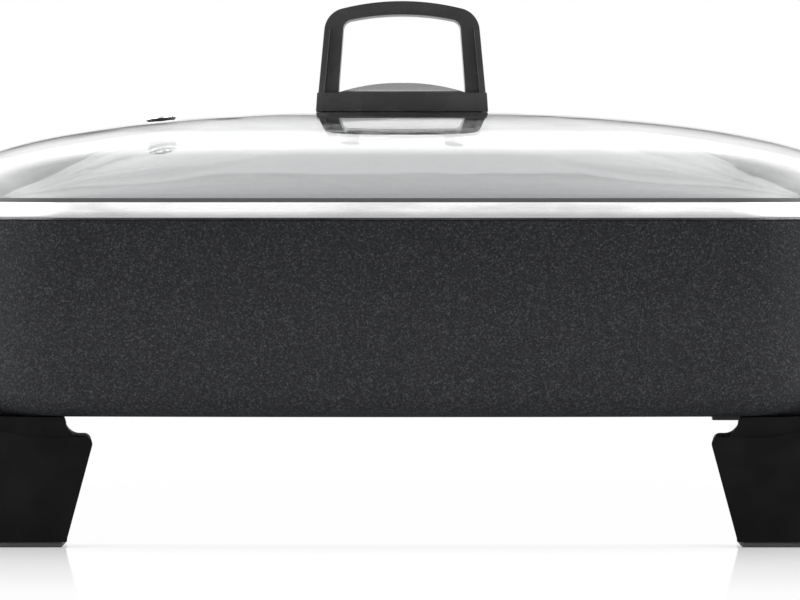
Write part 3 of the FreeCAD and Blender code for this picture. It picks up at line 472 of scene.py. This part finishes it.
# Heating loop. A sheathed rod brazed under the pan, dulled by heat, with plated pins at its
# cold ends and the tube for the sensor. Moulded, turned and pressed pieces are dressed from
# here on: their own solid, copied, with its edges eased.
MERGE_GAP = 2e-6
FLAT_ANGLE = math.radians(0.4)
EDGE_ANGLE = math.radians(32)


def bent_edges(mesh, angle):
    return [edge for edge in mesh.edges
            if len(edge.link_faces) == 2 and edge.calc_face_angle() > angle]


def ease_edges(mesh, edges, offset, segments):
    bmesh.ops.bevel(mesh, geom=edges, offset=offset, offset_type="OFFSET", affect="EDGES",
                    segments=segments, profile=0.5, material=-1, clamp_overlap=True)


def dressed(node, body, finish, ease, segments=3, shape=None):
    mesh = bmesh.new()
    mesh.from_mesh(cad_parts[node].data)
    bmesh.ops.remove_doubles(mesh, verts=mesh.verts, dist=MERGE_GAP)
    bmesh.ops.dissolve_limit(mesh, angle_limit=FLAT_ANGLE, verts=mesh.verts, edges=mesh.edges)
    if shape:
        shape(mesh)
    ease_edges(mesh, bent_edges(mesh, EDGE_ANGLE), ease, segments)
    finished(f"{node}_shell", mesh, body, finish, [node])


def wear(node, finish):
    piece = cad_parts[node]
    if not piece.material_slots:
        piece.data.materials.append(finish)
    for place in piece.material_slots:
        place.link = "OBJECT"
        place.material = finish


sheath, hot_steel = new_finish("element_sheath")
scale_marks = hot_steel.noise(0.006, 5.0)
hot_steel.surface({
    "Base Color": hot_steel.mix(scale_marks, (0.030, 0.028, 0.027, 1), (0.13, 0.12, 0.11, 1)),
    "Metallic": 0.8, "Roughness": 0.38 + scale_marks * 0.25,
    "Normal": hot_steel.bump(scale_marks, 0.0001)})
wear("heating_element", sheath)

nickel, plating = new_finish("plated_pin")
rubbed = plating.noise(0.002, 4.0, (0.2, 1, 1))
plating.surface({
    "Base Color": plating.mix(rubbed, (0.50, 0.49, 0.47, 1), (0.72, 0.70, 0.67, 1)),
    "Metallic": 1.0, "Roughness": 0.18 + rubbed * 0.22,
    "Normal": plating.bump(rubbed, 0.00003)})
dressed("terminal_pins", "base", nickel, ease=0.0005, segments=2)
dressed("probe_sleeve", "base", sheath, ease=0.0005, segments=2)


# Handle-and-leg frames. One semi-gloss black moulding at each end, with two legs, a bar under
# the pan, two arms and a grip, screwed to the pan through washers. A rubber pad is let into
# each foot, and the guard round the pins is moulded in the same black.
def moulded_black(name, dark, light, rough, grain, depth, shine=0.22):
    material, mould = new_finish(name)
    orange_peel = mould.noise(grain, 3.0)
    rubs = mould.noise(0.018, 5.0)
    mould.surface({
        "Base Color": mould.mix(rubs.above(0.42, 0.3), grey(dark), grey(light)),
        "Roughness": rough + rubs * 0.14, "Specular IOR Level": shine,
        "Normal": mould.bump(orange_peel, depth, 0.6)})
    return material


LEG_EASE = 0.0012
LEG_ROUND = 0.0026
LEG_BACK_FACE = -0.122
LEG_DRAFT = 0.0031
LEG_FACE_PLAY = 5e-4
LEG_INSIDE = -0.12
LEG_THROUGH = 0.02
NECK_END = 0.153
SHOULDER_END = 0.157
SHOULDER_LOW = 0.040
NECK_BEND = math.radians(25)
NECK_SEGMENTS = 5
phenolic = moulded_black("phenolic", dark=0.0024, light=0.0046, rough=0.26,
                         grain=0.0009, depth=0.00004, shine=0.05)


def draft_front_leg(mesh):
    """Narrows the front leg towards its back face and rounds its neck and shoulder."""
    for vert in mesh.verts:
        if (abs(vert.co.y - LEG_BACK_FACE) < LEG_FACE_PLAY
                and abs(vert.co.x) < NECK_END):
            vert.co.x += math.copysign(LEG_DRAFT, vert.co.x)
    corners = []
    for edge in bent_edges(mesh, NECK_BEND):
        first, second = (vert.co for vert in edge.verts)
        through = abs(first.y - second.y) > LEG_THROUGH
        in_front = max(first.y, second.y) < LEG_INSIDE
        above = min(first.z, second.z) > SHOULDER_LOW
        if through and in_front and above and max(abs(first.x), abs(second.x)) < SHOULDER_END:
            corners.append(edge)
    ease_edges(mesh, corners, LEG_ROUND, NECK_SEGMENTS)


for side in ("left", "right"):
    dressed(f"{side}_handle_legs", "base", phenolic, ease=LEG_EASE, segments=4,
            shape=draft_front_leg)
dressed("terminal_guard", "base", phenolic, ease=0.0005)

rubber, rubber_skin = new_finish("foot_rubber")
rubber_grain = rubber_skin.noise(0.0007, 4.0)
rubber_skin.surface({
    "Base Color": rubber_skin.mix(rubber_grain, grey(0.012), grey(0.035)),
    "Roughness": 0.62 + rubber_grain * 0.2, "Normal": rubber_skin.bump(rubber_grain, 0.0001)})
dressed("foot_pads", "base", rubber, ease=0.0007)

zinc, zinc_coat = new_finish("zinc_steel")
spangle = zinc_coat.noise(0.0016, 4.0)
zinc_coat.surface({
    "Base Color": zinc_coat.mix(spangle, (0.50, 0.51, 0.52, 1), (0.72, 0.73, 0.74, 1)),
    "Metallic": 1.0, "Roughness": 0.28 + spangle * 0.2,
    "Normal": zinc_coat.bump(spangle, 0.00003)})
for node in ("leg_screws", "leg_washers", "guard_screws"):
    dressed(node, "base", zinc, ease=0.0004, segments=2)


# Lid rim. A polished stainless band that holds the glass, with a turned-in flange on the
# pan's edge and a skirt inside it; a black silicone seal shows between band and glass.
BAND = 0.0012
RIM_HALF = (0.220, 0.16495)
RIM_LAP = 0.001
RIM_CORNER = PAN_CORNER + RIM_LAP
FLANGE = 0.012
FLANGE_THICK = 0.0015
SKIRT_INSET = 0.006
SKIRT = 0.001
SKIRT_DROP = 0.006
BAND_ROUND = 0.0011
SEAL_SHOWS = 0.0006
CORNER_STEP = 0.0001
FACE_STARTS = 0.003
FACE_STOPS = 0.002
FOOT_DARK = 0.0004
FOOT_CLEAR = 0.0034
rim_low, rim_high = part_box("lid_rim")
band_low = rim_low.z + SKIRT_DROP
band_high = rim_high.z - SEAL_SHOWS

stainless, steel = new_finish("lid_steel")
# Painted reflection: the band's colour darkens towards its foot, standing in for the darker room
# mirrored there.
band_foot_painted_reflection = steel.ramp(steel.axes()["Z"],
                       [(band_low + FOOT_DARK, 1.0), (band_low + FOOT_CLEAR, 0.0)])
brush = steel.noise(0.0016, 4.0, (0.03, 0.03, 1))
smudge = steel.noise(0.07, 4.0, (1, 1, 5))
polish = steel.mix(smudge.above(0.40, 0.16), (0.72, 0.72, 0.725, 1), (0.95, 0.95, 0.95, 1))
steel.surface({
    "Base Color": steel.mix(band_foot_painted_reflection, polish, (0.30, 0.30, 0.305, 1)),
    "Metallic": 1.0, "Roughness": 0.12 + smudge * 0.10 + brush * 0.05,
    "Normal": steel.bump(smudge + brush * 0.02, 0.0006, 0.6)})

band_section = [(SKIRT_INSET, rim_low.z), (SKIRT_INSET, band_low - CORNER_STEP)]
band_section += arc(BAND_ROUND, band_low + BAND_ROUND, BAND_ROUND, -90, 0, 4)
band_section += [(0, band_low + FACE_STARTS), (0, band_high - FACE_STOPS)]
band_section += arc(BAND / 2, band_high - BAND / 2, BAND / 2, 0, 180, 6)
band_section += [(BAND, band_low + FLANGE_THICK), (FLANGE, band_low + FLANGE_THICK),
                 (FLANGE, band_low), (SKIRT_INSET + SKIRT, band_low),
                 (SKIRT_INSET + SKIRT, rim_low.z)]
finished("lid_band", swept(RIM_HALF, RIM_CORNER, PAN_BOW, band_section, closed=True), "lid",
         stainless, ["lid_rim"], sharp=40)

SEAL = 0.0016
seal_low, seal_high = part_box("lid_seal")
silicone, silicone_skin = new_finish("seal_rubber")
silicone_grain = silicone_skin.noise(0.0008, 3.0)
silicone_skin.surface({
    "Base Color": silicone_skin.mix(silicone_grain, grey(0.010), grey(0.022)),
    "Roughness": 0.42 + silicone_grain * 0.2,
    "Normal": silicone_skin.bump(silicone_grain, 0.00005)})
seal_section = [(BAND, seal_low.z), (BAND, seal_high.z - SEAL / 2)]
seal_section += arc(BAND + SEAL / 2, seal_high.z - SEAL / 2, SEAL / 2, 0, 180, 6)[1:]
seal_section += [(BAND + SEAL, seal_low.z)]
finished("glass_seal", swept(RIM_HALF, RIM_CORNER, PAN_BOW, seal_section, closed=True), "lid",
         silicone, ["lid_seal"], sharp=60)


# Lid glass. One sheet of tempered glass, pressed over a mould into a flat-topped dome that
# steepens towards the rim, and four millimetres thick. Its colour carries a painted
# reflection: greyer, with fine painted streaks, away from the ridge of the dome, and a thin
# painted shade along the ridge itself.
GLASS_PLAY = 0.00015
GLASS_INSET = BAND + SEAL + GLASS_PLAY
GLASS_THICK = 0.004
GLASS_EDGE = 0.0055
DOME_POWER = 2.2
DOME_RINGS = 44
DOME_LIFT_SPARE = 1.012
DOME_TOP_SHARE = 0.012
# Size and spread of the painted streaks in the glass's painted reflection.
STREAK_SIZE = 1 / 110
STREAK_ALONG = 0.05
STREAK_ACROSS = 2.2
STREAK_DEPTH = 0.007
RIDGE_SHADE = 0.0045
CLEAR_DEPTH = 0.0130
GREY_DEPTH = 0.0236
FOOT_DEPTH = 0.0345
glass_low, glass_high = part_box("lid_glass")
dome_base = glass_low.z + GLASS_EDGE

glass, pane = new_finish("lid_glass")
ripple = pane.noise(0.06, 2.0)
haze = pane.noise(0.02, 4.0)
pane_axes = pane.axes()


def below_ridge(along, half):
    """How far below the dome's ridge line, seen from one side, a point of the glass lies."""
    reach = along * along * (1 / half ** 2)
    ridge = (1 - reach ** (DOME_POWER / 2)) ** (1 / DOME_POWER)
    return ridge * (glass_high.z - dome_base) + dome_base - pane_axes["Z"]


depth = below_ridge(pane_axes["X"], RIM_HALF[0]).larger(
    below_ridge(pane_axes["Y"], RIM_HALF[1]))
streak_place = pane.node("ShaderNodeCombineXYZ", {}, {
    "X": pane_axes["X"] * STREAK_ALONG, "Y": pane_axes["Y"] * STREAK_ALONG,
    "Z": depth * STREAK_ACROSS})["Vector"]
painted_streaks = pane.noise(STREAK_SIZE, 4.0, place=streak_place)
streaked_depth = depth + painted_streaks * STREAK_DEPTH - STREAK_DEPTH / 2
# Painted reflection: the glass is coloured greyer with depth below the ridge, with painted
# streaks, standing in for a darker room mirrored low on the dome; a thin painted shade greys the
# ridge itself.
painted_reflection_grey = (pane.ramp(streaked_depth, [(CLEAR_DEPTH, 0.0), (GREY_DEPTH, 0.58)])
             + pane.ramp(streaked_depth, [(GREY_DEPTH, 0.0), (FOOT_DEPTH, 0.42)])
             + pane.ramp(depth, [(0.0, 0.24), (RIDGE_SHADE, 0.0)]))
pane.surface({
    "Base Color": pane.mix(painted_reflection_grey, (0.975, 0.98, 0.98, 1), (0.60, 0.605, 0.61, 1)),
    "Roughness": haze * 0.03, "IOR": 1.47, "Transmission Weight": 1.0,
    "Normal": pane.bump(ripple, 0.0004, 0.4)})


def dome_step(number):
    turn = number / DOME_RINGS * math.pi / 2
    lift = math.sin(turn) ** (2 / DOME_POWER) * DOME_LIFT_SPARE
    return math.cos(turn) ** (2 / DOME_POWER), min(lift, 1.0)


def glass_dome():
    mesh = bmesh.new()
    verts, edges = first_ring(mesh)
    set_ring(verts, RIM_HALF, RIM_CORNER, PAN_BOW, GLASS_INSET,
             glass_low.z + CORNER_STEP)
    for number in range(DOME_RINGS + 1):
        share, lift = dome_step(number)
        verts, edges = next_ring(mesh, edges)
        set_ring(verts, RIM_HALF, RIM_CORNER, PAN_BOW, GLASS_INSET,
                 dome_base + (glass_high.z - dome_base) * lift, max(share, DOME_TOP_SHARE))
    bmesh.ops.contextual_create(mesh, geom=edges)
    bmesh.ops.recalc_face_normals(mesh, faces=mesh.faces)
    if max(mesh.faces, key=lambda face: face.calc_center_median().z).normal.z < 0:
        bmesh.ops.reverse_faces(mesh, faces=mesh.faces)
    return mesh


dome = finished("glass_dome", glass_dome(), "lid", glass, ["lid_glass"], sharp=80)
wall = dome.modifiers.new("glass_wall", "SOLIDIFY")
wall.thickness = GLASS_THICK
wall.offset = -1


# Steam vent. A polished chrome eyelet, flanged above the glass and rolled over below it, in a
# silicone bush that lines the hole and keeps the metal off the glass.
chrome, bright = new_finish("vent_chrome")
wipe = bright.noise(0.004, 3.0)
bright.surface({
    "Base Color": bright.mix(wipe, (0.74, 0.75, 0.76, 1), (0.88, 0.88, 0.89, 1)),
    "Metallic": 1.0, "Roughness": 0.05 + wipe * 0.08, "Normal": bright.bump(wipe, 0.00002)})
dressed("steam_vent_eyelet", "lid", chrome, ease=0.0004)
dressed("steam_vent_gasket", "lid", silicone, ease=0.0002, segments=2)


# Lid handle. A satin black moulded base with a crowned top and side fins, and an arched grip
# between them; a gasket, an inner plate and two screws hold it through the glass.
satin_black = moulded_black("handle_black", dark=0.014, light=0.022, rough=0.20,
                            grain=0.0007, depth=0.00005, shine=0.26)
dressed("lid_handle_base", "lid", satin_black, ease=0.0008)
dressed("lid_handle_grip", "lid", satin_black, ease=0.0021, segments=4)
dressed("lid_handle_gasket", "lid", silicone, ease=0.0003, segments=2)
dressed("lid_handle_plate", "lid", stainless, ease=0.0004, segments=2)
dressed("lid_handle_screws", "lid", zinc, ease=0.0005, segments=2)


# Heat control. A fine-textured black housing in two halves, with a contact block, sockets
# and a sensor rod that plug in under the pan, a red lamp lens and a rubber cord gland.
textured_black = moulded_black("control_black", dark=0.010, light=0.017, rough=0.42,
                               grain=0.0006, depth=0.00012)
for half in ("lower", "upper"):
    dressed(f"probe_housing_{half}", "heat_control", textured_black, ease=0.0006)
dressed("probe_screws", "heat_control", zinc, ease=0.0003, segments=2)

block_finish, ceramic = new_finish("insulator")
pits = ceramic.noise(0.0009, 5.0)
ceramic.surface({
    "Base Color": ceramic.mix(pits, (0.42, 0.37, 0.29, 1), (0.62, 0.57, 0.48, 1)),
    "Roughness": 0.6 + pits * 0.2, "Normal": ceramic.bump(pits, 0.0001)})
dressed("contact_block", "heat_control", block_finish, ease=0.0006)
dressed("sensor_rod", "heat_control", nickel, ease=0.0012)

brass, contact_metal = new_finish("contact_brass")
tarnish = contact_metal.noise(0.003, 5.0)
contact_metal.surface({
    "Base Color": contact_metal.mix(tarnish, (0.42, 0.29, 0.12, 1), (0.72, 0.56, 0.28, 1)),
    "Metallic": 1.0, "Roughness": 0.2 + tarnish * 0.3,
    "Normal": contact_metal.bump(tarnish, 0.00003)})
for node in ("contact_sleeves", "bimetal_strip", "contact_blade"):
    dressed(node, "heat_control", brass, ease=0.0002, segments=2)
dressed("thermostat_base", "heat_control", zinc, ease=0.0003, segments=2)
dressed("cord_gland", "heat_control", rubber, ease=0.0006)

lens_finish, lens = new_finish("red_lens")
lens_ring = lens.noise(0.0015, 2.0)
lens.surface({
    "Base Color": lens.mix(lens_ring, (0.42, 0.010, 0.008, 1), (0.62, 0.03, 0.02, 1)),
    "Roughness": 0.08 + lens_ring * 0.08, "Normal": lens.bump(lens_ring, 0.0001)})
dressed("indicator_lens", "heat_control", lens_finish, ease=0.0006)


# Dial. A moulded black knob with a pointer ridge and plain white marks printed on its top;
# its shaft carries the cam that works the thermostat.
dial_black = moulded_black("dial_black", dark=0.012, light=0.020, rough=0.28,
                           grain=0.0006, depth=0.00004)
dressed("control_dial", "dial", dial_black, ease=0.0005)
dressed("dial_shaft", "dial", zinc, ease=0.0003, segments=2)
dressed("thermostat_cam", "dial", block_finish, ease=0.0003, segments=2)

print_white, ink = new_finish("dial_marks")
ink_grain = ink.noise(0.0008, 3.0)
ink.surface({
    "Base Color": ink.mix(ink_grain, grey(0.62), grey(0.80)),
    "Roughness": 0.45 + ink_grain * 0.1, "Normal": ink.bump(ink_grain, 0.00002)})

dial_low, dial_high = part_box("control_dial")
dial_middle = (dial_low + dial_high) / 2
RIDGE_HEIGHT = 0.003
MARK_THICK = 0.0002
MARK_RING = 0.0160
MARK_SIZE = (0.0026, 0.0006, MARK_THICK)
MARK_COUNT = 12
POINTER_SIZE = (0.012, 0.0011, MARK_THICK)
POINTER_OUT = 0.0095
NUMBER_RING = 0.0118
NUMBER_SIZE = 0.0042
NUMBER_STEP = 50
mark_height = dial_high.z - RIDGE_HEIGHT + MARK_THICK / 2


def add_bar(mesh, size, place):
    made = bmesh.ops.create_cube(mesh, size=1)["verts"]
    bmesh.ops.transform(mesh, verts=made, matrix=place @ Matrix.Diagonal((*size, 1)))


def add_number(mesh, text, place):
    curve = bpy.data.curves.new("number", "FONT")
    curve.body = text
    curve.size = NUMBER_SIZE
    curve.align_x = "CENTER"
    curve.align_y = "CENTER"
    curve.extrude = MARK_THICK / 2
    holder = bpy.data.objects.new("number", curve)
    data = bpy.data.meshes.new_from_object(holder)
    data.transform(place)
    mesh.from_mesh(data)
    bpy.data.objects.remove(holder)


marks = bmesh.new()
for number in range(MARK_COUNT):
    turn = 2 * math.pi * number / MARK_COUNT
    if number in (0, MARK_COUNT // 2):
        continue
    spot = Matrix.Translation((dial_middle.x, dial_middle.y, mark_height)) @ \
        Matrix.Rotation(turn, 4, "Z")
    add_bar(marks, MARK_SIZE, spot @ Matrix.Translation((MARK_RING, 0, 0)))
    if number % 2 == 1:
        add_number(marks, str((number + 1) // 2 * NUMBER_STEP), spot @ Matrix.Translation(
            (NUMBER_RING, 0, 0)) @ Matrix.Rotation(-math.pi / 2, 4, "Z"))
add_bar(marks, POINTER_SIZE,
        Matrix.Translation((dial_middle.x + POINTER_OUT, dial_middle.y, dial_high.z)))
finished("dial_marks", marks, "dial", print_white, [])
